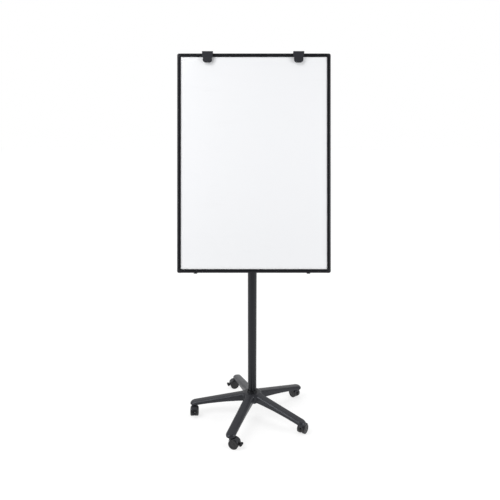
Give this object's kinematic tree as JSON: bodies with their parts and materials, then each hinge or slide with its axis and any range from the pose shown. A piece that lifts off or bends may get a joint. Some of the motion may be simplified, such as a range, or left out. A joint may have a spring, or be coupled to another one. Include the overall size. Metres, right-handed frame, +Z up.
{
  "type": "flipchart easel",
  "caption": "Mobile flipchart easel: framed white board that tilts on a height-adjustable column, with sliding pad clips and a star base on swivel castors.",
  "frame": {"origin": "on the floor, under the column's axis", "axes": "+X to the reader's right, +Y away from the reader, +Z up"},
  "size_m": [0.7, 0.6376, 1.8148],
  "materials": {
    "base_nylon": "fine-textured moulded nylon, dark grey",
    "black_paint": "satin black powder coat",
    "frame_black": "black powder-coated profile",
    "corner_plastic": "matt black moulded plastic",
    "clip_plastic": "coarse-textured dark grey plastic",
    "castor_plastic": "satin dark grey nylon",
    "wheel_plastic": "hard nylon wheel, worn at the tread",
    "lever_plastic": "black nylon",
    "black_plastic": "black moulded plastic",
    "white_enamel": "gloss white lacquered steel",
    "core_board": "raw core board",
    "zinc_steel": "zinc-plated sheet",
    "plated_steel": "bright plated tube with length-wise polish",
    "steel": "zinc-plated hardware"
  },
  "bodies": {
    "base": {"star_base": "base_nylon", "column_collar": "black_plastic", "column_tube": "black_paint", "column_plug": "steel", "base_bolt": "steel", "height_clamp": "black_plastic", "tube_bush": "black_plastic", "castor_a_stem": "steel", "castor_b_stem": "steel", "castor_c_stem": "steel", "castor_d_stem": "steel", "castor_e_stem": "steel"},
    "castor_a": {"castor_a_hood": "castor_plastic", "castor_a_axle": "steel"},
    "castor_a_wheel_left": {"castor_a_wheel_left": "wheel_plastic"},
    "castor_a_wheel_right": {"castor_a_wheel_right": "wheel_plastic"},
    "castor_a_lever": {"castor_a_lever": "lever_plastic"},
    "castor_b": {"castor_b_hood": "castor_plastic", "castor_b_axle": "steel"},
    "castor_b_wheel_left": {"castor_b_wheel_left": "wheel_plastic"},
    "castor_b_wheel_right": {"castor_b_wheel_right": "wheel_plastic"},
    "castor_b_lever": {"castor_b_lever": "lever_plastic"},
    "castor_c": {"castor_c_hood": "castor_plastic", "castor_c_axle": "steel"},
    "castor_c_wheel_left": {"castor_c_wheel_left": "wheel_plastic"},
    "castor_c_wheel_right": {"castor_c_wheel_right": "wheel_plastic"},
    "castor_d": {"castor_d_hood": "castor_plastic", "castor_d_axle": "steel"},
    "castor_d_wheel_left": {"castor_d_wheel_left": "wheel_plastic"},
    "castor_d_wheel_right": {"castor_d_wheel_right": "wheel_plastic"},
    "castor_e": {"castor_e_hood": "castor_plastic", "castor_e_axle": "steel"},
    "castor_e_wheel_left": {"castor_e_wheel_left": "wheel_plastic"},
    "castor_e_wheel_right": {"castor_e_wheel_right": "wheel_plastic"},
    "castor_e_lever": {"castor_e_lever": "lever_plastic"},
    "clamp_knob": {"clamp_knob": "black_plastic"},
    "mast": {"inner_tube": "plated_steel", "mast_glide": "black_plastic", "tilt_head": "black_paint", "tilt_bolt": "steel"},
    "tilt_knob": {"tilt_knob": "black_plastic"},
    "board": {"tilt_bracket": "black_paint", "cross_rail": "frame_black", "writing_sheet": "white_enamel", "board_core": "core_board", "back_sheet": "zinc_steel", "frame_rail_bottom": "frame_black", "frame_rail_right": "frame_black", "frame_rail_top": "frame_black", "frame_rail_left": "frame_black", "frame_corner_bl": "corner_plastic", "frame_corner_br": "corner_plastic", "frame_corner_tr": "corner_plastic", "frame_corner_tl": "corner_plastic", "edge_pad_left": "corner_plastic", "edge_pad_right": "corner_plastic"},
    "clip_left": {"clip_left": "clip_plastic"},
    "clip_screw_left": {"clip_screw_left": "black_plastic"},
    "clip_right": {"clip_right": "clip_plastic"},
    "clip_screw_right": {"clip_screw_right": "black_plastic"}
  },
  "joints": [
    {"name": "castor_a_swivel", "type": "hinge", "parent": "base", "child": "castor_a", "pos_m": [-0.30388, 0.00849, 0.055], "axis": [0, 0, 1], "continuous": true},
    {"name": "castor_a_left_roll", "type": "hinge", "parent": "castor_a", "child": "castor_a_wheel_left", "pos_m": [-0.30352, -0.01051, 0.025], "axis": [0.9998, 0.0192, 0], "continuous": true},
    {"name": "castor_a_right_roll", "type": "hinge", "parent": "castor_a", "child": "castor_a_wheel_right", "pos_m": [-0.30352, -0.01051, 0.025], "axis": [0.9998, 0.0192, 0], "continuous": true},
    {"name": "castor_a_brake", "type": "hinge", "parent": "castor_a", "child": "castor_a_lever", "pos_m": [-0.3032, -0.02701, 0.0325], "axis": [0.9998, 0.0192, 0], "range_deg": [0, 14]},
    {"name": "castor_b_swivel", "type": "hinge", "parent": "base", "child": "castor_b", "pos_m": [-0.10198, -0.28639, 0.055], "axis": [0, 0, 1], "continuous": true},
    {"name": "castor_b_left_roll", "type": "hinge", "parent": "castor_b", "child": "castor_b_wheel_left", "pos_m": [-0.08455, -0.29396, 0.025], "axis": [0.3987, 0.9171, 0], "continuous": true},
    {"name": "castor_b_right_roll", "type": "hinge", "parent": "castor_b", "child": "castor_b_wheel_right", "pos_m": [-0.08455, -0.29396, 0.025], "axis": [0.3987, 0.9171, 0], "continuous": true},
    {"name": "castor_b_brake", "type": "hinge", "parent": "castor_b", "child": "castor_b_lever", "pos_m": [-0.06942, -0.30054, 0.0325], "axis": [0.3987, 0.9171, 0], "range_deg": [0, 14]},
    {"name": "castor_c_swivel", "type": "hinge", "parent": "base", "child": "castor_c", "pos_m": [0.24086, -0.18548, 0.055], "axis": [0, 0, 1], "continuous": true},
    {"name": "castor_c_left_roll", "type": "hinge", "parent": "castor_c", "child": "castor_c_wheel_left", "pos_m": [0.25081, -0.1693, 0.025], "axis": [-0.8517, 0.524, 0], "continuous": true},
    {"name": "castor_c_right_roll", "type": "hinge", "parent": "castor_c", "child": "castor_c_wheel_right", "pos_m": [0.25081, -0.1693, 0.025], "axis": [-0.8517, 0.524, 0], "continuous": true},
    {"name": "castor_d_swivel", "type": "hinge", "parent": "base", "child": "castor_d", "pos_m": [0.25083, 0.17175, 0.055], "axis": [0, 0, 1], "continuous": true},
    {"name": "castor_d_left_roll", "type": "hinge", "parent": "castor_d", "child": "castor_d_wheel_left", "pos_m": [0.23932, 0.18686, 0.025], "axis": [-0.7955, -0.606, 0], "continuous": true},
    {"name": "castor_d_right_roll", "type": "hinge", "parent": "castor_d", "child": "castor_d_wheel_right", "pos_m": [0.23932, 0.18686, 0.025], "axis": [-0.7955, -0.606, 0], "continuous": true},
    {"name": "castor_e_swivel", "type": "hinge", "parent": "base", "child": "castor_e", "pos_m": [-0.08583, 0.29163, 0.055], "axis": [0, 0, 1], "continuous": true},
    {"name": "castor_e_left_roll", "type": "hinge", "parent": "castor_e", "child": "castor_e_wheel_left", "pos_m": [-0.1039, 0.28576, 0.025], "axis": [0.309, -0.9511, 0], "continuous": true},
    {"name": "castor_e_right_roll", "type": "hinge", "parent": "castor_e", "child": "castor_e_wheel_right", "pos_m": [-0.1039, 0.28576, 0.025], "axis": [0.309, -0.9511, 0], "continuous": true},
    {"name": "castor_e_brake", "type": "hinge", "parent": "castor_e", "child": "castor_e_lever", "pos_m": [-0.11959, 0.28066, 0.0325], "axis": [0.309, -0.9511, 0], "range_deg": [0, 14]},
    {"name": "clamp_knob_turn", "type": "hinge", "parent": "base", "child": "clamp_knob", "pos_m": [0, 0.05, 1.06], "axis": [0, 1, 0], "continuous": true},
    {"name": "mast_slide", "type": "slide", "parent": "base", "child": "mast", "axis": [0, 0, 1], "range_m": [-0.19, 0.17]},
    {"name": "tilt_knob_turn", "type": "hinge", "parent": "mast", "child": "tilt_knob", "pos_m": [0.03, 0, 1.36], "axis": [1, 0, 0], "continuous": true},
    {"name": "board_tilt", "type": "hinge", "parent": "mast", "child": "board", "pos_m": [0, 0, 1.36], "axis": [1, 0, 0], "range_deg": [-21.5, 13.3]},
    {"name": "clip_left_slide", "type": "slide", "parent": "board", "child": "clip_left", "axis": [1, 0, 0], "range_m": [-0.094, 0.18]},
    {"name": "clip_left_screw_turn", "type": "hinge", "parent": "clip_left", "child": "clip_screw_left", "pos_m": [-0.2042, 0.0475, 1.7925], "axis": [0, 0.973, -0.2307], "continuous": true},
    {"name": "clip_right_slide", "type": "slide", "parent": "board", "child": "clip_right", "axis": [1, 0, 0], "range_m": [-0.173, 0.102]},
    {"name": "clip_right_screw_turn", "type": "hinge", "parent": "clip_right", "child": "clip_screw_right", "pos_m": [0.2098, 0.0475, 1.7925], "axis": [0, 0.973, -0.2307], "continuous": true}
  ]
}
